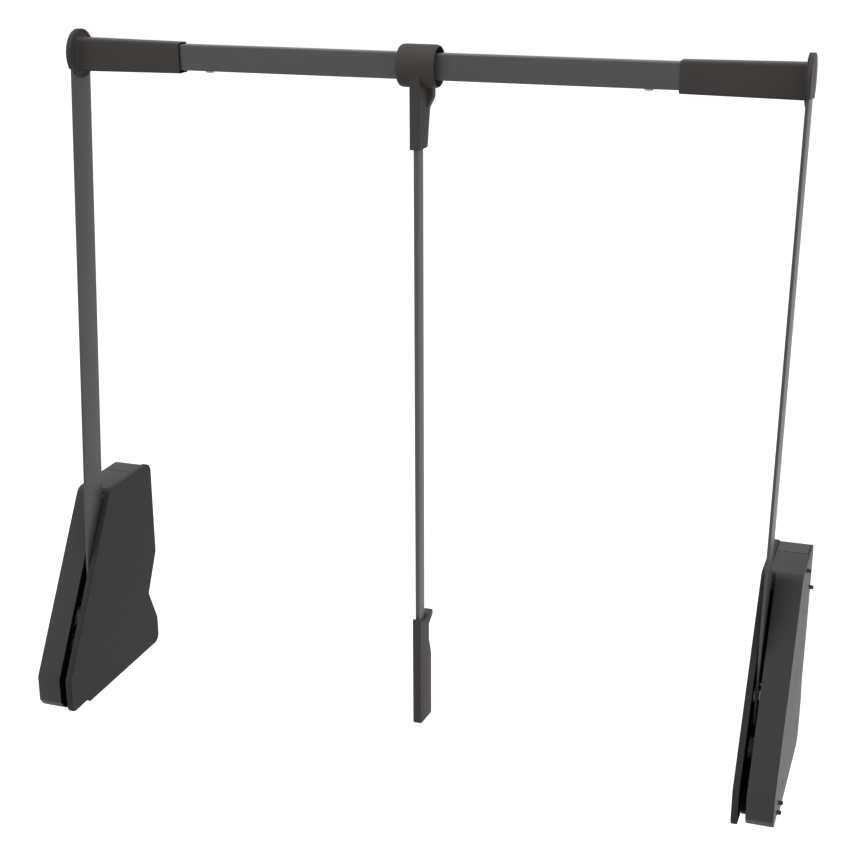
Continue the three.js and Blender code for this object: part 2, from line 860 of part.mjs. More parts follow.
// A round cap over the arm's head, with a straight foot below which the arm shows.
function endCap() {
  const outer = armOuter - clearance - capFace;
  const disc = bar(flangeRadius, railY, railZ, outer, armInner, fineSides);
  const half = armWidth / 2 + clearance;
  const slot = prism([
    onArm(armReach - 2 * flangeRadius, -half),
    onArm(armReach - 2 * flangeRadius, half),
    onArm(armReach, half),
    onArm(armReach, -half),
  ], armOuter - clearance, armInner + overrun);
  const head = bar(half, railY, railZ, armOuter - clearance, armInner + overrun, fineSides);
  const below = flangeRadius + overrun;
  const foot = prism([
    onArm(armReach - below, -below),
    onArm(armReach - below, below),
    onArm(armReach - capFootReach, below),
    onArm(armReach - capFootReach, -below),
  ], outer - overrun, armInner + overrun);
  return cut(disc, slot, head, foot);
}

// The sleeve's outside narrows from the flange to its mouth, and sits a little below the rail's axis.
function sleeveShell() {
  const mouthHeight = railHeight + 2 * (sleeveWall + clearance);
  const mouthDepth = railDepth + 2 * (sleeveWall + clearance);
  const wide = railSection(mouthHeight + 2 * sleeveTaper, mouthDepth + 2 * sleeveTaper, sleeveCorner);
  const narrow = railSection(mouthHeight, mouthDepth, sleeveCorner);
  const count = wide.length;
  const points = [
    ...wide.map(([y, z]) => [flangeOuter, y, z - sleeveDrop]),
    ...narrow.map(([y, z]) => [sleeveMouth, y, z - sleeveDrop]),
  ].flat();
  const index = [];
  for (let side = 0; side < count; side += 1) {
    const next = (side + 1) % count;
    index.push(side, next, count + next);
    index.push(side, count + next, count + side);
  }
  for (let side = 1; side < count - 1; side += 1) {
    index.push(0, side + 1, side);
    index.push(count, count + side, count + side + 1);
  }
  const geometry = new THREE.BufferGeometry();
  geometry.setAttribute('position', new THREE.Float32BufferAttribute(points, 3));
  geometry.setIndex(index);
  return toSolid(geometry);
}

const innerRailHeight = railHeight - 2 * (railWall + clearance);
const innerRailDepth = railDepth - 2 * (railWall + clearance);

function railEndSleeve() {
  const flange = bar(flangeRadius, railY, railZ, flangeOuter, flangeInner, fineSides);
  const railSpace = railSection(railHeight + 2 * clearance, railDepth + 2 * clearance, railCorner);
  const innerSpace = railSection(
    innerRailHeight + 2 * clearance,
    innerRailDepth + 2 * clearance,
    innerRailCorner,
  );
  const plugHeight = innerRailHeight - 2 * (innerRailWall + clearance);
  const plugDepth = innerRailDepth - 2 * (innerRailWall + clearance);
  const plugEnd = plugStart + plugLength;
  const plug = prism(railSection(plugHeight, plugDepth, 0), plugStart - overrun, plugEnd);
  const screwHoles = armScrewPlaces().map((place) => (
    bar(armScrewRadius + clearance, ...place, 0, plugStart + armScrewGrip + clearance, smallSides)
  ));
  const shell = cut(
    join(flange, sleeveShell()),
    prism(railSpace, plugEnd, sleeveMouth + overrun),
    prism(innerSpace, plugStart, plugEnd + overrun),
  );
  return cut(join(shell, plug), ...screwHoles);
}

function innerRail() {
  const end = innerRailStart + innerRailLength;
  const hollowHeight = innerRailHeight - 2 * innerRailWall;
  const hollowDepth = innerRailDepth - 2 * innerRailWall;
  return cut(
    prism(railSection(innerRailHeight, innerRailDepth, innerRailCorner), innerRailStart, end),
    prism(railSection(hollowHeight, hollowDepth, 0), innerRailStart - overrun, end + overrun),
  );
}

function clampScrewPlaces() {
  return [clampScrewInset, overallWidth - clampScrewInset];
}

function railTube() {
  const end = overallWidth - railEndInset;
  const hollow = railSection(railHeight - 2 * railWall, railDepth - 2 * railWall, 0);
  const screwHoles = clampScrewPlaces().map((x) => upright(
    clampScrewRadius + clearance,
    x,
    railY,
    railZ - railHeight / 2 - overrun,
    railZ - railHeight / 2 + railWall + overrun,
    smallSides,
  ));
  return cut(
    prism(railSection(railHeight, railDepth, railCorner), railEndInset, end),
    prism(hollow, railEndInset - overrun, end + overrun),
    ...screwHoles,
  );
}

function clampScrew(x) {
  const underside = railZ - railHeight / 2 - clearance;
  const tip = railZ - innerRailHeight / 2 - clearance;
  return join(
    upright(clampHeadRadius, x, railY, underside - clampHeadHeight, underside, smallSides),
    upright(clampScrewRadius, x, railY, underside - clampHeadHeight, tip, smallSides),
  );
}

function handleBush() {
  const half = handleBushWidth / 2;
  const radius = collarRadius - collarWall - clearance;
  return cut(
    bar(radius, railY, railZ, middle - half, middle + half, fineSides),
    prism(railSection(railHeight + 2 * clearance, railDepth + 2 * clearance, railCorner),
      middle - half - overrun, middle + half + overrun),
  );
}

function barSection(gap, fromZ, toZ) {
  const centreY = railY - barForward;
  return box(
    middle - barWidth / 2 - gap,
    middle + barWidth / 2 + gap,
    centreY - barDepth / 2 - gap,
    centreY + barDepth / 2 + gap,
    railZ + fromZ,
    railZ + toZ,
  );
}

// The collar's outside, turned about the rail's axis, with both edges rounded off.
function collarBarrel() {
  const half = collarWidth / 2;
  const edge = Array.from({ length: arcSteps + 1 }, (_, step) => {
    const angle = (Math.PI * step) / (2 * arcSteps);
    const radius = collarRadius - collarEdgeDrop * (1 - Math.sin(angle));
    return new THREE.Vector2(radius, half - collarEdgeLength * (1 - Math.cos(angle)));
  });
  const profile = [
    new THREE.Vector2(0, -half),
    ...edge.map((point) => new THREE.Vector2(point.x, -point.y)),
    ...[...edge].reverse(),
    new THREE.Vector2(0, half),
  ];
  const geometry = new THREE.LatheGeometry(profile, fineSides);
  geometry.rotateZ(-Math.PI / 2);
  geometry.translate(middle, railY, railZ);
  return toSolid(geometry);
}

function handleCollar() {
  const neck = prism([
    [railY - neckFront, railZ - neckDrop],
    [railY + neckRearBottom, railZ - neckDrop],
    [railY + neckRearTop, railZ - neckShoulderDrop],
    [railY + neckRearTop, railZ],
    [railY - neckFront, railZ],
  ], middle - neckWidth / 2, middle + neckWidth / 2);
  const bore = bar(collarRadius - collarWall, railY, railZ, 0, overallWidth, fineSides);
  const socket = barSection(clearance, -neckDrop - overrun, barSocket - neckDrop);
  return cut(join(collarBarrel(), neck, neckGusset()), bore, socket);
}

// The wide rear part between the collar and the neck.
function neckGusset() {
  const shape = new THREE.Shape([
    new THREE.Vector2(-gussetWidth / 2, -gussetTopDrop),
    new THREE.Vector2(-neckWidth / 2, -neckShoulderDrop),
    new THREE.Vector2(neckWidth / 2, -neckShoulderDrop),
    new THREE.Vector2(gussetWidth / 2, -gussetTopDrop),
    new THREE.Vector2(gussetWidth / 2, 0),
    new THREE.Vector2(-gussetWidth / 2, 0),
  ]);
  const geometry = new THREE.ExtrudeGeometry(shape, { depth: gussetDepth, bevelEnabled: false });
  geometry.rotateX(Math.PI / 2);
  geometry.translate(middle, railY + neckRearTop, railZ);
  return toSolid(geometry);
}

function handleBar() {
  return barSection(0, -gripTop - gripSocket + clearance, barSocket - neckDrop - clearance);
}

function handleGrip() {
  const bottom = gripTop + gripLength;
  const outline = rounded([
    [-gripFront, -bottom, gripCorner],
    [gripRear, -bottom - gripHeelDrop, gripCorner],
    [gripRear, -gripTop - gripSwellBottom, gripCorner],
    [gripWaist, -gripTop - gripWaistBottom, gripCorner],
    [gripWaist, -gripTop - gripWaistTop, gripCorner],
    [gripHookReach, -gripTop - gripHookTop - gripHookDepth, gripCorner],
    [gripHookReach, -gripTop - gripHookTop, gripCorner],
    [-gripFront, -gripTop, gripCorner],
  ]).map(([y, z]) => [railY + y, railZ + z]);
  return cut(
    prism(outline, middle - gripWidth / 2, middle + gripWidth / 2),
    barSection(clearance, -gripTop - gripSocket, overrun - gripTop),
  );
}

// Mirrors a left-hand solid to the right-hand side.
function mirrored(solid) {
  return solid.mirror([1, 0, 0]).translate([overallWidth, 0, 0]);
}

function named(name, solid, finish) {
  const mesh = new THREE.Mesh(toGeometry(solid), new THREE.MeshStandardMaterial(finish));
  mesh.name = name;
  return mesh;
}

// Numbers the copies of one piece, made at each of the given places.
function copies(name, places, make, finish) {
  return places.map((place, index) => [`${name}_${index + 1}`, () => make(place), finish]);
}

const sidePieces = [
  ['body_shell', bodyShell, housingPlastic],
  ['front_shroud', frontShroud, housingPlastic],
  ['inner_cover', innerCover, housingPlastic],
  ...copies('wall_peg', pegPlaces(), wallPeg, blackRubber),
  ['pivot_axle', pivotAxle, bareSteel],
  ['thrust_washer', thrustWasher, bareSteel],
  ['inner_bush', innerBush, bareSteel],
  ['arm', arm, paintedSteel],
  ['hub_gear', hubGear, bareSteel],
  ...copies('hub_rivet', rivetPlaces(), hubRivet, bareSteel),
  ['gear_rack', gearRack, gearPlastic],
  ['guide_rod', guideRod, bareSteel],
  ['return_spring', returnSpring, springSteel],
  ['damper_body', damperBody, gearPlastic],
  ['damper_pinion', damperPinion, gearPlastic],
  ['lowered_stop_buffer', loweredStopBuffer, blackRubber],
  ['raised_stop_buffer', raisedStopBuffer, blackRubber],
  ['end_cap', endCap, trimPlastic],
  ...copies('arm_screw', armScrewPlaces(), armScrew, bareSteel),
  ['rail_end_sleeve', railEndSleeve, trimPlastic],
  ['inner_rail', innerRail, bareSteel],
];

const middlePieces = [
  ['rail_tube', railTube, paintedSteel],
  ...copies('clamp_screw', clampScrewPlaces(), clampScrew, bareSteel),
  ['handle_bush', handleBush, blackRubber],
  ['handle_collar', handleCollar, trimPlastic],
  ['handle_bar', handleBar, paintedSteel],
  ['handle_grip', handleGrip, trimPlastic],
];

const lift = new THREE.Group();
const leftSide = new THREE.Group();
const rightSide = new THREE.Group();
const middleGroup = new THREE.Group();
sidePieces.forEach(([name, make, finish]) => {
  const solid = make();
  leftSide.add(named(`left_${name}`, solid, finish));
  rightSide.add(named(`right_${name}`, mirrored(solid), finish));
});
middlePieces.forEach(([name, make, finish]) => {
  middleGroup.add(named(name, make(), finish));
});
lift.add(leftSide, middleGroup, rightSide);

export default lift;
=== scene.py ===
import math
import bpy
import bmesh
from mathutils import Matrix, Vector


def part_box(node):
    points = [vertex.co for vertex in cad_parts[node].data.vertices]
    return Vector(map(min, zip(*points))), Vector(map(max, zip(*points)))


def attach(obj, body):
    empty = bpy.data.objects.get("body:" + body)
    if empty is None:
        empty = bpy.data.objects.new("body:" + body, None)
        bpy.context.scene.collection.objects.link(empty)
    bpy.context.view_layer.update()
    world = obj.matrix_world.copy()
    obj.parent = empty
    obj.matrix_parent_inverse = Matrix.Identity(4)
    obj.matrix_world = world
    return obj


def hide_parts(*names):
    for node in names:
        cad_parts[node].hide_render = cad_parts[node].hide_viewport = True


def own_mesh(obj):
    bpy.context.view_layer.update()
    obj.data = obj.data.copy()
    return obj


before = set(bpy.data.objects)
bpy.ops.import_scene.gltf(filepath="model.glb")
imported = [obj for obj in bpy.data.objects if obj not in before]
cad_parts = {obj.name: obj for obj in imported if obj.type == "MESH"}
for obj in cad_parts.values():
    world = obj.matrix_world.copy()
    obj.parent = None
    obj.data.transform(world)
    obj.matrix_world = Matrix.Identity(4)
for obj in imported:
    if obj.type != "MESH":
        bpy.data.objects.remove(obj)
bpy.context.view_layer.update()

MM = 0.001
SHARP_ANGLE = math.radians(32)
WIDTH = 912.0
LEAN = math.radians(5)
SWING = math.radians(115)
REACH = 675.0
RAIL_Y = REACH * math.sin(LEAN)
RAIL_Z = REACH * math.cos(LEAN)
MIDDLE = WIDTH / 2


# Mesh helpers. Lengths are in millimetres until the mesh is made.

def make(name, verts, faces, side="left"):
    """A mesh object from millimetre points; the right side is the left one mirrored."""
    if side == "right":
        verts = [(WIDTH - x, y, z) for x, y, z in verts]
    mesh = bpy.data.meshes.new(name)
    mesh.from_pydata([(x * MM, y * MM, z * MM) for x, y, z in verts], [], faces)
    bm = bmesh.new()
    bm.from_mesh(mesh)
    bmesh.ops.remove_doubles(bm, verts=bm.verts, dist=1e-6)
    bmesh.ops.dissolve_degenerate(bm, edges=bm.edges, dist=1e-6)
    bmesh.ops.recalc_face_normals(bm, faces=bm.faces)
    bm.to_mesh(mesh)
    bm.free()
    obj = bpy.data.objects.new(name, mesh)
    bpy.context.scene.collection.objects.link(obj)
    return obj


def bake(obj):
    """Applies what modifiers the object has."""
    bpy.context.view_layer.update()
    graph = bpy.context.evaluated_depsgraph_get()
    mesh = bpy.data.meshes.new_from_object(obj.evaluated_get(graph))
    obj.modifiers.clear()
    old = obj.data
    obj.data = mesh
    bpy.data.meshes.remove(old)
    return obj


def bevel(obj, width, segments=3, angle=30):
    """Rounds the edges that turn by more than angle."""
    mod = obj.modifiers.new("edge", "BEVEL")
    mod.width = width * MM
    mod.segments = segments
    mod.limit_method = "ANGLE"
    mod.angle_limit = math.radians(angle)
    mod.use_clamp_overlap = True
    return bake(obj)


def carve(obj, *cutters):
    """Cuts the cutters out of the object and removes them."""
    for cutter in cutters:
        mod = obj.modifiers.new("cut", "BOOLEAN")
        mod.operation = "DIFFERENCE"
        mod.solver = "EXACT"
        mod.object = cutter
    bake(obj)
    for cutter in cutters:
        bpy.data.objects.remove(cutter)
    return obj


def smooth(obj):
    """Smooth shading that stays crisp at real edges."""
    for polygon in obj.data.polygons:
        polygon.use_smooth = True
    obj.data.set_sharp_from_angle(angle=SHARP_ANGLE)
    return obj


def join(name, *objs):
    """One object from several."""
    bm = bmesh.new()
    for obj in objs:
        bm.from_mesh(obj.data)
    mesh = bpy.data.meshes.new(name)
    bm.to_mesh(mesh)
    bm.free()
    for obj in objs:
        bpy.data.objects.remove(obj)
    made = bpy.data.objects.new(name, mesh)
    bpy.context.scene.collection.objects.link(made)
    return made


def grid(rows, close_rows=True, close_points=True, cap_rows=False, cap_points=False):
    """Faces between rows of points: close_rows joins last row to first, close_points closes each row."""
    count = len(rows[0])
    verts = [p for row in rows for p in row]
    faces = []
    row_range = range(len(rows)) if close_rows else range(len(rows) - 1)
    point_range = range(count) if close_points else range(count - 1)
    for i in row_range:
        j = (i + 1) % len(rows)
        for k in point_range:
            n = (k + 1) % count
            faces.append((i * count + k, i * count + n, j * count + n, j * count + k))
    if cap_rows:
        faces.append(tuple(range(count)))
        faces.append(tuple((len(rows) - 1) * count + k for k in range(count)))
    if cap_points:
        faces.append(tuple(i * count for i in range(len(rows))))
        faces.append(tuple(i * count + count - 1 for i in range(len(rows))))
    return verts, faces


def prism(name, outline, x0, x1, side="left"):
    """A (y, z) outline drawn out from x0 to x1."""
    rows = [[(x, y, z) for y, z in outline] for x in (x0, x1)]
    verts, faces = grid(rows, close_rows=False, cap_rows=True)
    return make(name, verts, faces, side)


def lathe(name, profile, y, z, side="left", steps=64):
    """Turns (x, radius) points round an axis along X; a closed profile needs no caps."""
    closed = profile[0] == profile[-1]
    points = profile[:-1] if closed else profile
    rows = []
    for i in range(steps):
        a = 2 * math.pi * i / steps
        rows.append([(x, y + r * math.cos(a), z + r * math.sin(a)) for x, r in points])
    verts, faces = grid(rows, close_points=closed)
    return make(name, verts, faces, side)


def upright_lathe(name, profile, x, y, steps=36):
    """Turns (z, radius) points round an axis along Z."""
    rows = []
    for i in range(steps):
        a = 2 * math.pi * i / steps
        rows.append([(x + r * math.cos(a), y + r * math.sin(a), z) for z, r in profile])
    verts, faces = grid(rows, close_points=False)
    return make(name, verts, faces)


def offset_path(corners, depth, steps=8):
    """The rounded outline moved inwards by depth, always with the same number of points."""
    out = []
    count = len(corners)
    for i, (y, z, radius) in enumerate(corners):
        here = Vector((y, z))
        e1 = (here - Vector(corners[i - 1][:2])).normalized()
        e2 = (Vector(corners[(i + 1) % count][:2]) - here).normalized()
        n1 = Vector((-e1.y, e1.x))
        n2 = Vector((-e2.y, e2.x))
        corner = here + depth * (n1 + n2) / (1 + n1.dot(n2))
        if not radius:
            out.append((corner.x, corner.y))
            continue
        turn = math.atan2(e1.x * e2.y - e1.y * e2.x, e1.dot(e2))
        r = max(radius - depth if turn > 0 else radius + depth, 0.05)
        reach = r * math.tan(abs(turn) / 2)
        sign = 1 if turn > 0 else -1
        centre = corner - e1 * reach + n1 * r * sign
        start = (corner - e1 * reach) - centre
        for k in range(steps + 1):
            a = turn * k / steps
            out.append((
                centre.x + start.x * math.cos(a) - start.y * math.sin(a),
                centre.y + start.x * math.sin(a) + start.y * math.cos(a),
            ))
    return out


def rounded(points, steps=6):
    """The points of an outline given as (y, z, corner radius)."""
    return offset_path(points, 0, steps)


def rect(y0, y1, z0, z1, r):
    """The corners of a rectangle, all with radius r."""
    return [(y0, z0, r), (y1, z0, r), (y1, z1, r), (y0, z1, r)]


def on_arm(along, behind, swing=0.0):
    """The (y, z) of a point along the arm from its pivot and behind its centre line."""
    a = LEAN - swing
    return (along * math.sin(a) + behind * math.cos(a), along * math.cos(a) - behind * math.sin(a))


def wear(obj, material):
    """Gives a piece its material."""
    obj.data.materials.clear()
    obj.data.materials.append(material)
    return obj


# Materials.

def srgb(value):
    """One channel, 0 to 255, as a linear value."""
    value = value / 255
    return value / 12.92 if value <= 0.04045 else ((value + 0.055) / 1.055) ** 2.4


def colour(r, g, b):
    return (srgb(r), srgb(g), srgb(b), 1.0)


def surface(name, low, high, rough, grain, bump, metallic=0.0, specular=0.5, streak=None, sharp_edge_colour=None):
    """A procedural surface: mottled colour from low to high, uneven roughness, grain and a set colour on
    sharp convex edges.

    rough is the lowest and the highest roughness, grain and bump are the grain's scale and strength, streak
    stretches the grain, and sharp_edge_colour is the colour that sharp convex edges turn part way towards.
    """
    mat = bpy.data.materials.new(name)
    mat.use_nodes = True
    tree = mat.node_tree
    nodes = tree.nodes
    links = tree.links
    shader = nodes["Principled BSDF"]
    shader.inputs["Metallic"].default_value = metallic
    shader.inputs["Specular IOR Level"].default_value = specular
    coords = nodes.new("ShaderNodeTexCoord")
    mapping = nodes.new("ShaderNodeMapping")
    if streak:
        mapping.inputs["Scale"].default_value = streak
    links.new(coords.outputs["Object"], mapping.inputs["Vector"])

    broad = nodes.new("ShaderNodeTexNoise")
    broad.inputs["Scale"].default_value = 9
    broad.inputs["Detail"].default_value = 4
    links.new(coords.outputs["Object"], broad.inputs["Vector"])
    fine = nodes.new("ShaderNodeTexNoise")
    fine.inputs["Scale"].default_value = grain
    fine.inputs["Detail"].default_value = 3
    links.new(mapping.outputs["Vector"], fine.inputs["Vector"])

    both = nodes.new("ShaderNodeMath")
    both.operation = "MULTIPLY_ADD"
    both.inputs[1].default_value = 0.5
    links.new(fine.outputs["Fac"], both.inputs[0])
    half = nodes.new("ShaderNodeMath")
    half.operation = "MULTIPLY"
    half.inputs[1].default_value = 0.5
    links.new(broad.outputs["Fac"], half.inputs[0])
    links.new(half.outputs["Value"], both.inputs[2])
    ramp = nodes.new("ShaderNodeValToRGB")
    ramp.color_ramp.elements[0].position = 0.3
    ramp.color_ramp.elements[0].color = low
    ramp.color_ramp.elements[1].position = 0.7
    ramp.color_ramp.elements[1].color = high
    links.new(both.outputs["Value"], ramp.inputs["Fac"])
    colour_out = ramp.outputs["Color"]
    # Sharp convex edges, found by pointiness, turn part way towards a set colour.
    if sharp_edge_colour:
        geometry = nodes.new("ShaderNodeNewGeometry")
        edge = nodes.new("ShaderNodeMapRange")
        edge.inputs["From Min"].default_value = 0.53
        edge.inputs["From Max"].default_value = 0.62
        edge.inputs["To Max"].default_value = 0.35
        links.new(geometry.outputs["Pointiness"], edge.inputs["Value"])
        mix = nodes.new("ShaderNodeMix")
        mix.data_type = "RGBA"
        mix.inputs[7].default_value = sharp_edge_colour
        links.new(edge.outputs["Result"], mix.inputs[0])
        links.new(colour_out, mix.inputs[6])
        colour_out = mix.outputs[2]
    links.new(colour_out, shader.inputs["Base Color"])

    spread = nodes.new("ShaderNodeMapRange")
    spread.inputs["To Min"].default_value = rough[0]
    spread.inputs["To Max"].default_value = rough[1]
    links.new(both.outputs["Value"], spread.inputs["Value"])
    links.new(spread.outputs["Result"], shader.inputs["Roughness"])

    relief = nodes.new("ShaderNodeBump")
    relief.inputs["Strength"].default_value = bump
    relief.inputs["Distance"].default_value = 0.0002
    links.new(fine.outputs["Fac"], relief.inputs["Height"])
    links.new(relief.outputs["Normal"], shader.inputs["Normal"])
    return mat


housing = surface("housing_plastic", colour(52, 50, 51), colour(59, 57, 58), (0.5, 0.62), 900, 0.25,
                  specular=0.32, sharp_edge_colour=colour(84, 82, 83))
cover_mat = surface("cover_plastic", colour(54, 51, 52), colour(61, 58, 59), (0.5, 0.62), 1100, 0.22,
                    specular=0.1, sharp_edge_colour=colour(84, 82, 83))
trim = surface("trim_plastic", colour(76, 73, 71), colour(84, 81, 79), (0.42, 0.54), 1000, 0.2, specular=0.04,
               sharp_edge_colour=colour(78, 77, 75))
# Near-black painted shade for faces in narrow gaps, where no light reaches.
painted_shade = surface("painted_gap_shade", colour(4, 4, 4), colour(7, 7, 7), (0.85, 0.95), 900, 0.1, specular=0.05)
black = surface("peg_plastic", colour(18, 18, 18), colour(26, 26, 26), (0.5, 0.65), 900, 0.2)
pale = surface("gear_plastic", colour(205, 203, 196), colour(222, 220, 214), (0.4, 0.5), 500, 0.1)
paint = surface("painted_steel", colour(84, 84, 85), colour(93, 93, 94), (0.38, 0.5), 650, 0.28,
                metallic=0.3, specular=0.12, sharp_edge_colour=colour(104, 104, 107))
steel = surface("bright_steel", colour(150, 153, 158), colour(196, 200, 205), (0.22, 0.36), 420, 0.2,
                metallic=1.0, streak=(1, 1, 9))
spring_mat = surface("spring_steel", colour(108, 110, 115), colour(140, 143, 148), (0.28, 0.4), 700, 0.15,
                     metallic=1.0)
rubber = surface("buffer_rubber", colour(62, 62, 62), colour(74, 74, 74), (0.75, 0.9), 1400, 0.4)


# Housing. X runs from the wall face towards the middle, Y and Z from the pivot axis.

BODY_END = 30.5
SLOT_END = 38.8
COVER_START = 39.1
FACE = 46.6
ARM_OUT = 34.55
ARM_IN = 37.85

WALL = 2.8
LIP = 8.3
PLATE_EDGE = 0.7
PLATE_INSET = 4.6
SHROUD_EDGE = 0.8
COVER_EDGE = 1.5

# The housing seen from the side: its top and foot, its front and back, and the knee below the slanted front.
TOP = 134.7
FOOT = 121.2
FRONT_FOOT = 117.8
FRONT = 93.1
BACK = 145.3
KNEE = 72.7
SLOPE = math.tan(math.radians(32.1))
FRONT_TOP = SLOPE * (TOP + KNEE) - FRONT
TOP_FRONT_RADIUS = 15
TOP_REAR_RADIUS = 12
KNEE_RADIUS = 9
REAR_RADIUS = 11

# The seam across the top, how far its edges sink, and the Y where the slot ends at the top.
SEAM = 105.2
SEAM_SINK = 0.4
SLOT_TOP = 42.5

# Corners (y, z, radius) of the outlines, in order round the housing.
REAR = [(138.8, -FOOT, REAR_RADIUS), (138.8, -87.0, 4), (119.1, -43.3, 3), (BACK, 8.0, REAR_RADIUS)]
WALLS = [(-78.8, -FRONT_FOOT, 0), (-62.06, -FRONT_FOOT, 0), (-62.0, -FRONT_FOOT, 0),
         (-51.0, -FRONT_FOOT, 0), (-48.3, -FOOT, 0), *REAR, (BACK, TOP, TOP_REAR_RADIUS),
         (SEAM + 0.7, TOP, 0), (SEAM + 0.2, TOP, 0)]
PLATE = [(151.0, -132.0, 16), (151.0, -74.0, 12), (141.0, -42.0, 12), (BACK, 8.0, REAR_RADIUS),
         (BACK, TOP, TOP_REAR_RADIUS), (SEAM + 0.6, TOP, 0), (SEAM + 0.2, TOP, 0), (SEAM, TOP, 0),
         (FRONT_TOP, TOP, TOP_FRONT_RADIUS), (-FRONT, -KNEE, KNEE_RADIUS), (-FRONT, -104.5, 3),
         (-79.8, -FRONT_FOOT, 0), (-79.4, -FRONT_FOOT, 0), (-78.8, -FRONT_FOOT, 0), (-51.0, -FRONT_FOOT, 0),
         (-48.3, -FOOT, 0), (-20.0, -132.0, 0)]
SHROUD = [(SEAM - 0.2, TOP, 0), (SEAM - 0.6, TOP, 0), (FRONT_TOP, TOP, TOP_FRONT_RADIUS),
          (-FRONT, -KNEE, KNEE_RADIUS), (-FRONT, -104.5, 2), (-87.0, -112.8, 2.5), (-80.0, -117.7, 0),
          (-79.5, -FRONT_FOOT, 0)]
# The cover's outline stands a little outside the body's.
COVER = [(-FRONT, -KNEE, KNEE_RADIUS), (-FRONT, -116.9, 8), (-51.0, -116.9, 0), (-48.3, -FOOT - 0.8, 0),
         (139.9, -FOOT - 0.8, REAR_RADIUS), (139.9, -86.8, 4), (120.2, -43.3, 3), (146.0, 8.0, REAR_RADIUS),
         (146.0, TOP + 1.2, TOP_REAR_RADIUS), (FRONT_TOP - 0.2, TOP + 1.2, 11)]

# The cover's crease, one point for each of its corners, and the drop of its rim there. It runs between the
# first and the last place, counted in corners, and the step is the share by which it leans to the rim.
CREASE = [(-79.5, -57.9), (-77.0, -58.0), (-50.0, -59.6), (-46.0, -59.8), (63.7, -66.4), (81.5, -49.7),
          (94.8, -28.0), (120.2, 43.0), (133.0, 122.0)]
DROP = [0.0, 0.1, 0.4, 0.5, 0.5, 0.5, 0.4, 0.2, 0.0]
CREASE_STEP = 0.02
CREASE_FIRST = -0.05
CREASE_LAST = 8.2


def stop_block():
    """The outline of the block that the lowered arm rests on."""
    near, far, start, end = -20.3, -31.3, 44.0, 66.0
    return [on_arm(a, b, SWING) for a, b in ((start, near), (end, near), (end, far), (start, far))]


# The damper's pinion sits one gear distance from the pivot, ten hub teeth downwards from straight back.
HUB_TEETH = 26
GEAR_DISTANCE = 28.5
DAMPER_ANGLE = -2 * math.pi * 10 / HUB_TEETH
DAMPER = (GEAR_DISTANCE * math.cos(DAMPER_ANGLE), GEAR_DISTANCE * math.sin(DAMPER_ANGLE))
STOP_PIN = on_arm(55.0, -25.8, SWING)
PEGS = [(0.51 * BACK, 0.946 * TOP), (0.886 * BACK, 0.623 * TOP), (-0.483 * FRONT, 15.1 - FOOT),
        (-0.62 * FRONT, 10.1 - FOOT)]
SCREW_HOLES = [(0.55 * BACK, 0.55 * TOP), (0.76 * BACK, -0.72 * FOOT), (-0.15 * FRONT, -0.8 * FOOT)]


def arc(x0, d0, x1, d1, radius_steps=5):
    """Quarter turn from (x0, d0) to (x1, d1) in the (x, depth) plane, bulging outwards."""
    out = []
    for k in range(radius_steps + 1):
        a = math.pi / 2 * k / radius_steps
        out.append((x0 + (x1 - x0) * (1 - math.cos(a)), d0 + (d1 - d0) * math.sin(a)))
    return out


def sweep(corners, section_at, steps=8):
    """Rows of points: at each outline point i, section_at(i, y, z) gives the (x, depth) points."""
    base = offset_path(corners, 0, steps)
    sections = [section_at(i, y, z) for i, (y, z) in enumerate(base)]
    depths = sorted({round(d, 4) for s in sections for _, d in s})
    paths = {d: offset_path(corners, d, steps) for d in depths}
    return [[(x, *paths[round(d, 4)][i]) for x, d in s] for i, s in enumerate(sections)]


def open_rows(corners, section_at):
    """A swept band that is open between its last corner and its first; inside points close the path."""
    closing = [(corners[-1][0], 20.0, 0), (corners[0][0], 20.0, 0)]
    path = corners + closing
    count = len(offset_path(path, 0)) - len(closing)
    return sweep(path, lambda i, y, z: section_at(y, z, i, count))[:count]


def rounded_end(end, sink):
    """Section points of a wall's outer face near its free end, with a small rounded edge."""
    return [(end - 0.5, sink), (end - 0.15, sink + 0.15), (end, sink + 0.5)]


def under_shroud(y, z):
    """Whether a point of the plate's outline lies inside the shroud, where the plate's rim is set in."""
    slanted = z > -72 and (z > 100 or y < SLOPE * (z + KNEE) - 85)
    return slanted and y < SEAM + 0.1 or y < -79.3


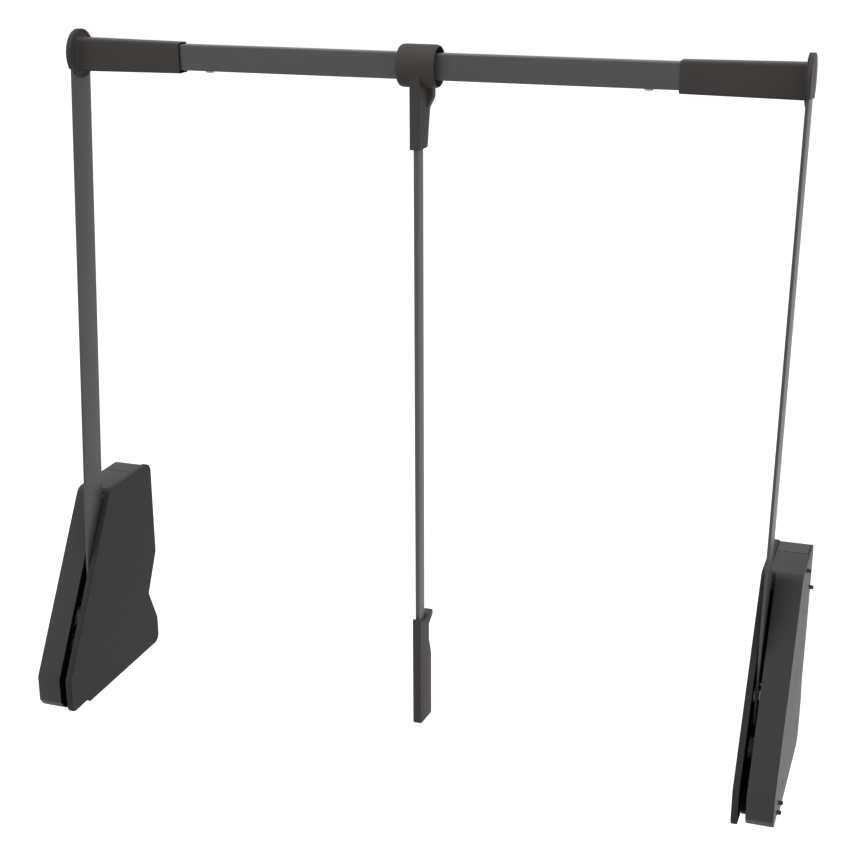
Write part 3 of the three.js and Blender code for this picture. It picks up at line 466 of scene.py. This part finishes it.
def body_piece(side):
    """Rear wall, bottom and rear part of the top, with the outer plate and what stands on it."""

    def section(y, z, i, count):
        end = BODY_END if i < 2 else SLOT_END
        sink = SEAM_SINK if i in (0, count - 1) else 0.0
        return [(2.0, sink), *rounded_end(end, sink), (end, WALL), (2.0, WALL)]

    rows = open_rows(WALLS, section)
    verts, faces = grid(rows, close_rows=False, cap_rows=True)
    walls = make(side + "_body_walls", verts, faces, side)

    def plate_section(i, y, z):
        if under_shroud(y, z):
            return [(WALL * k / 5, PLATE_INSET) for k in range(6)]
        return arc(0, PLATE_EDGE, PLATE_EDGE, 0, 4) + [(WALL, 0)]

    rows = sweep(PLATE, plate_section)
    verts, faces = grid(rows, close_points=False, cap_points=True)
    plate = make(side + "_body_plate", verts, faces, side)
    holes = []
    for y, z in PEGS:
        straight = [(-1, 0), (-1, 2.8), (3.4, 2.8), (3.4, 0)]
        holes.append(lathe("hole", straight, y, z, side, 32))
    for y, z in SCREW_HOLES:
        countersunk = [(-0.6, 0), (-0.6, 4.3), (1.1, 2.6), (3.4, 2.6), (3.4, 0)]
        holes.append(lathe("hole", countersunk, y, z, side, 32))
    carve(plate, *holes)
    boss = lathe("boss", [(2.5, 9.0), (19.1, 9.0), (19.5, 8.6), (19.5, 4.8), (5.0, 4.8)], 0, 0, side, 40)
    ring = [(2.5, 14.9), (9.8, 14.9), (10.1, 14.6), (10.1, 13.1), (2.5, 13.1), (2.5, 14.9)]
    socket = lathe("socket", ring, *DAMPER, side, 48)
    post = prism("post", stop_block(), 2.5, BODY_END, side)
    bevel(post, 0.4, 2)
    pin = lathe("pin", [(29.5, 0), (29.5, 2.7), (37.5, 2.7), (37.8, 2.4), (37.8, 0)], *STOP_PIN, side, 24)
    anchors = []
    for z in (96.0, -54.6):
        outline = [(22.8, z), (37.95, z), (37.95, z + 4.6), (22.8, z + 4.6)]
        anchors.append(bevel(prism("anchor", outline, 2.5, 28.6, side), 0.3, 2))
    return join(side + "_housing_body", walls, plate, boss, socket, post, pin, *anchors)


def shroud_piece(side):
    """The slanted front with its lip along the slot, and the front part of the top."""

    def section(y, z, i, count):
        top = z > TOP - WALL and y > SLOT_TOP
        end = SLOT_END if top else BODY_END
        sink = SEAM_SINK if i in (0, count - 1) else 0.0
        lip = WALL if top else LIP
        back = end if top else end - 1.5
        pts = [(0, 4.2)]
        pts += [(x, d + sink * (1 - d / SHROUD_EDGE)) for x, d in arc(0, SHROUD_EDGE, SHROUD_EDGE, 0, 4)]
        pts += [*rounded_end(end, sink), (end, lip), (back, lip), (back, WALL), (3.1, WALL), (3.1, 4.2)]
        return pts

    rows = open_rows(SHROUD, section)
    verts, faces = grid(rows, close_rows=False, cap_rows=True)
    shell = make(side + "_shroud_shell", verts, faces, side)
    outline = [(40.4, 112.7), (43.2, 112.7), (43.2, 133.6), (40.4, 133.4)]
    stop = bevel(prism("slot_end", outline, 29.0, 38.7, side), 0.3, 2)
    return join(side + "_housing_shroud", shell, stop)


def lerp(table, u):
    """The table's value at the fractional place u."""
    u = min(max(u, 0.0), len(table) - 1.0)
    i = min(int(u), len(table) - 2)
    t = u - i
    a, b = table[i], table[i + 1]
    if isinstance(a, tuple):
        return tuple(p + (q - p) * t for p, q in zip(a, b))
    return a + (b - a) * t


def cover_piece(side):
    """The flat cover towards the middle, with its crease and the boss for the axle."""
    steps = 8
    keys = []
    for c, (_, _, r) in enumerate(COVER):
        if r:
            keys += [c + (k / steps - 0.5) * 0.3 for k in range(steps + 1)]
        else:
            keys.append(float(c))
    inner = offset_path(COVER, 2.6, steps)

    def low(i):
        return lerp(DROP, keys[i]) if keys[i] < CREASE_LAST else 0.0

    def section(i, y, z):
        face = FACE - low(i)
        pts = [(43.9, 2.2), (COVER_START, 2.2), (COVER_START, 0.4), (COVER_START + 0.12, 0.12),
               (COVER_START + 0.4, 0.0)]
        for k in range(7):
            a = math.pi / 2 * k / 6
            pts.append((face - COVER_EDGE + COVER_EDGE * math.sin(a), COVER_EDGE * (1 - math.cos(a))))
        return pts

    rows = sweep(COVER, section, steps)
    for i, row in enumerate(rows):
        if CREASE_FIRST < keys[i] < CREASE_LAST:
            y, z = lerp(CREASE, keys[i])
            edge_y, edge_z = row[-1][1:]
            row.append((FACE - low(i), y + (edge_y - y) * CREASE_STEP, z + (edge_z - z) * CREASE_STEP))
        else:
            y, z = inner[i]
            row.append((FACE - 0.01, *inner[i]))
        row.append((FACE, y, z))
    verts, faces = grid(rows, close_points=False, cap_points=True)
    shell = make(side + "_cover_shell", verts, faces, side)
    boss = lathe("boss", [(44.2, 8.5), (41.0, 8.5), (40.7, 8.2), (40.7, 4.8), (44.0, 4.8)], 0, 0, side, 40)
    return join(side + "_housing_cover", shell, boss)


def peg_piece(side, n):
    """A wall peg with its collar and rounded tip."""
    y, z = PEGS[n]
    profile = [(4.6, 0), (4.6, 2.9), (4.3, 3.3), (3.1, 3.3), (3.1, 2.5), (-3.9, 2.45), (-4.6, 2.1),
               (-4.95, 1.4), (-4.95, 0)]
    return lathe(f"{side}_peg_{n + 1}", profile, y, z, side, 40)


def spring_piece(side):
    """The return spring as a round wire along a helix, with the wire's ends capped."""
    low, high = (Vector(p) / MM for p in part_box(side + "_return_spring"))
    wire = 1.2
    centre_x = (low.x + high.x) / 2
    centre_y = (low.y + high.y) / 2
    coil = (high.y - low.y) / 2 - wire
    start, end = low.z + wire, high.z - wire
    turns, per_turn, sides = 11, 32, 10
    count = turns * per_turn
    rows = []
    for i in range(count + 1):
        a = 2 * math.pi * i / per_turn
        z = start + (end - start) * i / count
        row = []
        for k in range(sides):
            b = 2 * math.pi * k / sides
            out = coil + wire * math.cos(b)
            row.append((centre_x + out * math.cos(a), centre_y + out * math.sin(a), z + wire * math.sin(b)))
        rows.append(row)
    verts, faces = grid(rows, close_rows=False, cap_rows=True)
    return make(side + "_coil_spring", verts, faces)


# Arm set.

ARM_HALF = 20.0
ARM_HEEL = 29.3
ARM_GAP = 0.3
CAP_R = 27.8
FLANGE_IN = 39.35
MOUTH = 169.15
SLEEVE_HEIGHT = 34.1
SLEEVE_DEPTH = 21.5
SLEEVE_DROP = 0.7
SLEEVE_TAPER = 2.8
RAIL_HEIGHT = 28.6
RAIL_DEPTH = 16.0
RAIL_WALL = 1.2
RAIL_END = 87.3
RAIL_GAP = 0.3


def arm_piece(side):
    """The flat bar with its round upper end."""
    half = ARM_HALF
    corners = [(*on_arm(-ARM_HEEL, -half), 3.5), (*on_arm(-ARM_HEEL, half), 3.5)]
    outline = rounded(corners + [(*on_arm(REACH, half), 0), (*on_arm(REACH, -half), 0)])
    split = len(outline) - 2
    head = []
    for k in range(33):
        a = math.pi / 2 - math.pi * k / 32
        head.append(on_arm(REACH + half * math.cos(a), half * math.sin(a)))
    blade = prism(side + "_arm_blade", outline[:split] + head, ARM_OUT, ARM_IN, side)
    return bevel(blade, 0.4, 3, 40)


def cap_piece(side):
    """The disc outside the arm, cut straight below, with a rim round the arm's end."""
    r = CAP_R
    disc = [(34.25, 0), (34.25, r), (33.9, r), (33.55, r - 0.15), (33.32, r - 0.45), (33.25, r - 0.9),
            (33.25, 0)]
    face = lathe("cap_face", disc, RAIL_Y, RAIL_Z, side, 96)
    inner = ARM_HALF + ARM_GAP
    outer = r - 0.02
    opening = math.asin(inner / outer)
    points = []
    for k in range(81):
        a = -math.pi + opening + (2 * math.pi - 2 * opening) * k / 80
        points.append(on_arm(REACH + outer * math.cos(a), outer * math.sin(a)))
    for k in range(41):
        a = math.pi / 2 - math.pi * k / 40
        points.append(on_arm(REACH + inner * math.cos(a), inner * math.sin(a)))
    rim = prism("cap_rim", points, 34.2, ARM_IN, side)
    below = [on_arm(REACH + a, b) for a, b in ((-32, -32), (-32, 32), (-18, 32), (-18, -32))]
    for part in (face, rim):
        carve(part, prism("below", below, 30, 40, side))
    return join(side + "_disc", face, rim)


def painted_shade_sheet_piece(side):
    """A thin black sheet of painted shade on the rear half of the disc's outer face, behind the arm's centre
    line.
    """
    points = []
    for k in range(49):
        a = math.radians(4) + (math.pi - math.radians(50)) * k / 48
        points.append(on_arm(REACH + 27.2 * math.cos(a), 27.2 * math.sin(a)))
    points.append(on_arm(REACH - 17.5, 7.5))
    shade_sheet = prism(side + "_painted_shade_sheet", points, 33.0, 33.6, side)
    return bevel(shade_sheet, 0.12, 2, 40)


def rail_ring(x, height, depth, corner, drop=0.0):
    """A rounded rectangle across the rail's axis at x, moved down by drop."""
    mid = RAIL_Z - drop
    corners = rect(RAIL_Y - depth / 2, RAIL_Y + depth / 2, mid - height / 2, mid + height / 2, corner)
    return [(x, y, z) for y, z in rounded(corners, 8)]


def sleeve_piece(side):
    """The round flange and the tapered sleeve that holds the rail's end."""
    r = CAP_R
    profile = [(38.5, 15.9), (38.15, 15.9), (38.15, r - 0.3), (38.3, r), (39.15, r), (FLANGE_IN, r - 0.2),
               (FLANGE_IN, r - 2.4), (38.75, r - 2.8), (38.75, 10.0)]
    flange = lathe("flange", profile, RAIL_Y, RAIL_Z, side, 96)

    def ring(x, grow, corner):
        return rail_ring(x, SLEEVE_HEIGHT + grow, SLEEVE_DEPTH + grow, corner, SLEEVE_DROP)

    start, mouth = FLANGE_IN, MOUTH
    rows = [ring(start - 0.7, 6.0, 5.5), ring(start, 5.4, 5.2), ring(start + 0.5, 3.8, 4.4),
            ring(start + 1.6, 2.9, 3.9)]
    for t in (0.02, 0.2, 0.4, 0.6, 0.8, 0.97):
        rows.append(ring(start + (mouth - start) * t, SLEEVE_TAPER * (1 - t), 3.0))
    rows += [ring(mouth - 0.6, 0, 3.0), ring(mouth - 0.15, -0.3, 2.8), ring(mouth, -0.9, 2.5)]
    bore_height, bore_depth = RAIL_HEIGHT + 2 * RAIL_GAP, RAIL_DEPTH + 2 * RAIL_GAP
    rows += [rail_ring(x, bore_height, bore_depth, 1.5) for x in (mouth, mouth - 30)]
    verts, faces = grid(rows, close_rows=False)
    sleeve = make("sleeve", verts, faces, side)
    return join(side + "_sleeve", flange, sleeve)


# Rail and handle.

CLAMP_INSET = 202.5
BUSH_R = 20.8
BUSH_HALF = 13
COLLAR_R = 23.3
COLLAR_BORE = 21.7
COLLAR_HALF = 22.0
BAR_Y = RAIL_Y - 8.0
BAR_HALF = 9.95
BAR_TOP = 58.0
BAR_FOOT = 672.7

# The neck: depth below the rail's axis, reach to the front, reach to the rear, half width of its rear part.
NECK = [(2.0, 21.5, 17.8, 11.65), (20.0, 21.5, 17.8, 11.65), (31.5, 21.5, 17.8, 11.65),
        (35.3, 21.5, 17.8, 11.3), (40.3, 21.5, 17.6, 9.0), (45.6, 21.5, 17.0, 6.2), (48.2, 21.5, 16.3, 5.91),
        (50.5, 21.5, 15.7, 5.91), (57.6, 21.5, 13.9, 5.91), (66.0, 21.5, 11.8, 5.91), (75.0, 21.5, 9.9, 5.91),
        (86.0, 21.5, 7.6, 5.91), (88.3, 21.5, 7.3, 5.91), (88.7, 21.1, 6.9, 5.6)]

# The grip from the rail's axis, as (y, z, corner radius).
GRIP = [(-21.6, -800.5, 3.5), (-12.0, -802.0, 5), (20.8, -805.2, 1.5), (20.8, -721.0, 9),
        (12.3, -697.0, 9), (12.3, -677.5, 4), (26.6, -670.0, 2.0), (26.6, -663.0, 2.0), (4.4, -661.3, 1.0),
        (2.7, -664.0, 0.6), (-18.5, -662.5, 0.6), (-18.8, -658.2, 0.6), (-21.6, -658.2, 1.3)]


def rail_piece():
    """The rectangular tube between the sleeves."""
    a, b = RAIL_END, WIDTH - RAIL_END
    rows = []
    for x, sink, corner in ((a, 0.3, 1.5), (a + 0.3, 0, 1.8), (b - 0.3, 0, 1.8), (b, 0.3, 1.5),
                            (b, RAIL_WALL, 0.4), (a, RAIL_WALL, 0.4)):
        rows.append(rail_ring(x, RAIL_HEIGHT - 2 * sink, RAIL_DEPTH - 2 * sink, corner))
    verts, faces = grid(rows)
    return make("rail", verts, faces)


def clamp_piece(n):
    """A socket screw under the rail."""
    x = (CLAMP_INSET, WIDTH - CLAMP_INSET)[n]
    under = RAIL_Z - RAIL_HEIGHT / 2 - RAIL_GAP
    profile = [(under + 1.5, 1.8), (under, 1.8), (under, 4.8), (under - 0.2, 4.9), (under - 1.2, 4.85),
               (under - 1.9, 4.2), (under - 2.2, 3.2), (under - 2.2, 1.45)]
    head = upright_lathe("head", profile, x, RAIL_Y)
    socket = upright_lathe("socket", [(under - 2.2, 1.45), (under - 0.7, 1.35), (under - 0.5, 0)], x, RAIL_Y)
    return join(f"clamp_screw_head_{n + 1}", head, socket)


def bush_piece():
    """The round bush on the rail, with a rectangular bore, in which the collar turns."""
    rows = []
    steps = 96
    r, half = BUSH_R, BUSH_HALF
    bore_y, bore_z = RAIL_DEPTH / 2 + RAIL_GAP, RAIL_HEIGHT / 2 + RAIL_GAP
    for i in range(steps):
        a = 2 * math.pi * i / steps
        c, s = math.cos(a), math.sin(a)
        q = min(bore_y / max(abs(c), 1e-6), bore_z / max(abs(s), 1e-6))
        profile = ((-half, q), (-half, r - 0.4), (0.4 - half, r), (half - 0.4, r), (half, r - 0.4), (half, q))
        rows.append([(MIDDLE + x, RAIL_Y + d * c, RAIL_Z + d * s) for x, d in profile])
    verts, faces = grid(rows)
    return make("rail_bush", verts, faces)


def collar_piece():
    """The collar that turns on the bush, and its neck down to the handle bar."""
    r, half, edge, fall = COLLAR_R, COLLAR_HALF, 6.0, 2.0
    profile = []
    for k in range(9):
        a = math.pi / 2 * k / 8
        profile.append((MIDDLE - half + edge * (1 - math.cos(a)), r - fall + fall * math.sin(a)))
    profile += [(2 * MIDDLE - x, q) for x, q in reversed(profile)]
    profile += [(MIDDLE + half - 0.15, 21.1), (MIDDLE - half + 0.15, 21.1)]
    profile.append(profile[0])
    ring = lathe("collar_ring", profile, RAIL_Y, RAIL_Z, "left", 96)
    rows = []
    for z, front, rear, wide in NECK:
        outline = [(-5.9, -front, 1.0), (5.9, -front, 1.0), (5.9, 4.9, 0), (wide, 5.8, 1.2),
                   (wide, rear + 0.6, 1.0), (-wide, rear + 0.6, 1.0), (-wide, 5.8, 1.2), (-5.9, 4.9, 0)]
        rows.append([(MIDDLE + x, RAIL_Y + y, RAIL_Z - z) for x, y in rounded(outline, 5)])
    verts, faces = grid(rows, close_rows=False, cap_rows=True)
    neck = make("neck", verts, faces)
    profile = [(MIDDLE - 30, 0), (MIDDLE - 30, COLLAR_BORE), (MIDDLE + 30, COLLAR_BORE), (MIDDLE + 30, 0)]
    bore = lathe("bore", profile, RAIL_Y, RAIL_Z, "left", 96)
    carve(neck, bore)
    return join("collar", ring, neck)


def handle_bar_piece():
    """The flat bar between the neck and the grip."""
    front, rear = BAR_Y - BAR_HALF, BAR_Y + BAR_HALF
    foot, top = RAIL_Z - BAR_FOOT, RAIL_Z - BAR_TOP
    outline = [(front, foot), (rear, foot), (rear, top), (front, top)]
    return bevel(prism("pull_bar", outline, MIDDLE - 2.45, MIDDLE + 2.45), 0.4, 3)


def grip_piece():
    """The flat grip with its waist and its hook at the rear."""
    outline = [(RAIL_Y + y, RAIL_Z + z) for y, z in rounded(GRIP, 6)]
    return bevel(prism("pull_grip", outline, MIDDLE - 5.0, MIDDLE + 5.0), 1.0, 4, 40)


# Placing. Behind LIT_FROM, in metres, the shroud's end faces are open to the light. A normal beyond
# FLAT_FACE marks the cover's flat facets, which are shaded flat.

LIT_FROM = 0.038
FLAT_FACE = 0.985


def place(obj, body, material, slot, *nodes):
    """Finishes a piece: shading, material, the body it rides on and the nodes it stands for."""
    smooth(obj)
    wear(obj, material)
    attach(obj, body)
    if nodes:
        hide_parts(*nodes)
    return obj


def paint_gap_shade(obj, side, plane):
    """Paints shade on the faces that look across a narrow gap, in the plane at x: they get the near-black
    painted shade.
    """
    obj.data.materials.append(painted_shade)
    for polygon in obj.data.polygons:
        x = polygon.center.x / MM
        x = WIDTH - x if side == "right" else x
        lit = plane == BODY_END and polygon.center.y > LIT_FROM
        if abs(polygon.normal.x) > 0.9 and abs(x - plane) < 0.2 and not lit:
            polygon.material_index = 1


for side in ("left", "right"):
    home, moving = side + "_housing", side + "_arm_set"
    place(body_piece(side), home, housing, "housing_plastic", side + "_body_shell")
    shroud = place(shroud_piece(side), home, housing, "housing_plastic", side + "_front_shroud")
    # Painted shade on the shroud's faces along the slot.
    paint_gap_shade(shroud, side, BODY_END)
    cover = place(cover_piece(side), home, cover_mat, "cover_plastic", side + "_inner_cover")
    for polygon in cover.data.polygons:
        polygon.use_smooth = abs(polygon.normal.x) < FLAT_FACE
    for n in range(4):
        place(peg_piece(side, n), home, black, "peg_plastic", f"{side}_wall_peg_{n + 1}")
    profile = [(38.15, 4.8), (38.15, 8.4), (38.4, 8.7), (40.2, 8.7), (40.4, 8.4), (40.4, 4.8), (38.15, 4.8)]
    bush = lathe(side + "_speck_bush", profile, 0, 0, side, 48)
    place(bush, home, steel, "steel", side + "_inner_bush")
    spring = place(spring_piece(side), home, spring_mat, "steel", side + "_return_spring")
    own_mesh(spring)
    block = bevel(prism(side + "_low_stop", stop_block(), 30.8, ARM_IN, side), 0.8, 3)
    place(block, home, rubber, "rubber", side + "_lowered_stop_buffer")
    lower, upper = (on_arm(along, ARM_HALF + ARM_GAP) for along in (115.0, 129.0))
    outline = [lower, (40.1, lower[1]), (40.1, upper[1]), upper]
    wedge = bevel(prism(side + "_high_stop", outline, 34.25, 38.15, side), 0.5, 3)
    place(wedge, home, rubber, "rubber", side + "_raised_stop_buffer")
    place(arm_piece(side), moving, paint, "painted_steel", side + "_arm")
    place(cap_piece(side), moving, trim, "trim_plastic", side + "_end_cap")
    sleeve = place(sleeve_piece(side), moving, trim, "trim_plastic", side + "_rail_end_sleeve")
    # Painted shade on the end face of the sleeve's mouth.
    paint_gap_shade(sleeve, side, MOUTH)
    # A black sheet stands in for the shade on the rear half of the disc's outer face.
    place(painted_shade_sheet_piece(side), moving, black, "peg_plastic")

place(rail_piece(), "rail", paint, "painted_steel", "rail_tube")
for n in range(2):
    place(clamp_piece(n), "rail", steel, "steel", f"clamp_screw_{n + 1}")
# The real bush wears the near-black painted shade, standing in for the shade inside the collar's opening.
place(bush_piece(), "rail", painted_shade, "peg_plastic", "handle_bush")
place(collar_piece(), "handle", trim, "trim_plastic", "handle_collar")
place(handle_bar_piece(), "handle", paint, "painted_steel", "handle_bar")
place(grip_piece(), "handle", trim, "trim_plastic", "handle_grip")

INNER = {"pivot_axle": steel, "thrust_washer": steel, "hub_gear": steel, "hub_rivet_1": steel,
         "hub_rivet_2": steel, "gear_rack": pale, "guide_rod": steel, "damper_body": pale,
         "damper_pinion": pale, "arm_screw_1": steel, "arm_screw_2": steel, "inner_rail": steel}
for side in ("left", "right"):
    for node, material in INNER.items():
        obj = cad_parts[side + "_" + node]
        for spot in obj.material_slots:
            spot.material = material

# Floor, light and camera.

def ray_share(tree):
    """1 for camera, glossy and transmission rays, 0 for all others."""
    path = tree.nodes.new("ShaderNodeLightPath")
    share = path.outputs["Is Camera Ray"]
    for kind in ("Is Glossy Ray", "Is Transmission Ray"):
        most = tree.nodes.new("ShaderNodeMath")
        most.operation = "MAXIMUM"
        tree.links.new(share, most.inputs[0])
        tree.links.new(path.outputs[kind], most.inputs[1])
        share = most.outputs["Value"]
    return share


# In metres, below the lowered rail.
FLOOR_Z = -0.30

bpy.ops.mesh.primitive_plane_add(size=14, location=(0.456, 2.0, FLOOR_Z))
floor = bpy.context.object
floor.name = "floor"
floor_mat = bpy.data.materials.new("floor")
floor_mat.use_nodes = True
tree = floor_mat.node_tree
shader = tree.nodes["Principled BSDF"]
shader.inputs["Base Color"].default_value = (0.6, 0.6, 0.6, 1)
shader.inputs["Roughness"].default_value = 0.9
glow = tree.nodes.new("ShaderNodeEmission")
glow.inputs["Color"].default_value = (1, 1, 1, 1)
amount = tree.nodes.new("ShaderNodeMath")
amount.operation = "MULTIPLY"
amount.inputs[1].default_value = 0.84
tree.links.new(ray_share(tree), amount.inputs[0])
tree.links.new(amount.outputs["Value"], glow.inputs["Strength"])
add = tree.nodes.new("ShaderNodeAddShader")
tree.links.new(shader.outputs["BSDF"], add.inputs[0])
tree.links.new(glow.outputs["Emission"], add.inputs[1])
tree.links.new(add.outputs["Shader"], tree.nodes["Material Output"].inputs["Surface"])
floor.data.materials.append(floor_mat)

world = bpy.data.worlds.new("world")
bpy.context.scene.world = world
world.use_nodes = True
tree = world.node_tree
back = tree.nodes["Background"]
back.inputs["Color"].default_value = (1, 1, 1, 1)
level = tree.nodes.new("ShaderNodeMapRange")
level.inputs["To Min"].default_value = 0.45
level.inputs["To Max"].default_value = 1.0
tree.links.new(ray_share(tree), level.inputs["Value"])
tree.links.new(level.outputs["Result"], back.inputs["Strength"])


def lamp(name, place_at, look_at, size, power):
    """A square area lamp turned to look_at."""
    data = bpy.data.lights.new(name, "AREA")
    data.shape = "SQUARE"
    data.size = size
    data.energy = power
    obj = bpy.data.objects.new(name, data)
    bpy.context.scene.collection.objects.link(obj)
    obj.location = place_at
    obj.rotation_euler = (Vector(look_at) - Vector(place_at)).to_track_quat("-Z", "Y").to_euler()
    return obj


centre = (0.456, 0.0, 0.25)
lamp("top", (0.4, -0.4, 3.2), centre, 2.6, 42)
lamp("right", (3.2, -0.9, 1.0), centre, 2.2, 3)
lamp("left", (-2.4, -1.6, 1.0), centre, 2.2, 10)

# The camera, as fitted to the photo.
camera_data = bpy.data.cameras.new("camera")
camera_data.lens = 69.318
camera_data.sensor_width = 36
camera_data.shift_x = -0.0072
camera_data.shift_y = 0.0557
camera = bpy.data.objects.new("camera", camera_data)
bpy.context.scene.collection.objects.link(camera)
camera.location = (1.04943, -1.68799, 0.87852)
camera.rotation_euler = (math.radians(69.66229), math.radians(0.01515), math.radians(18.29723))
bpy.context.scene.camera = camera
bpy.context.scene.view_settings.view_transform = "Standard"
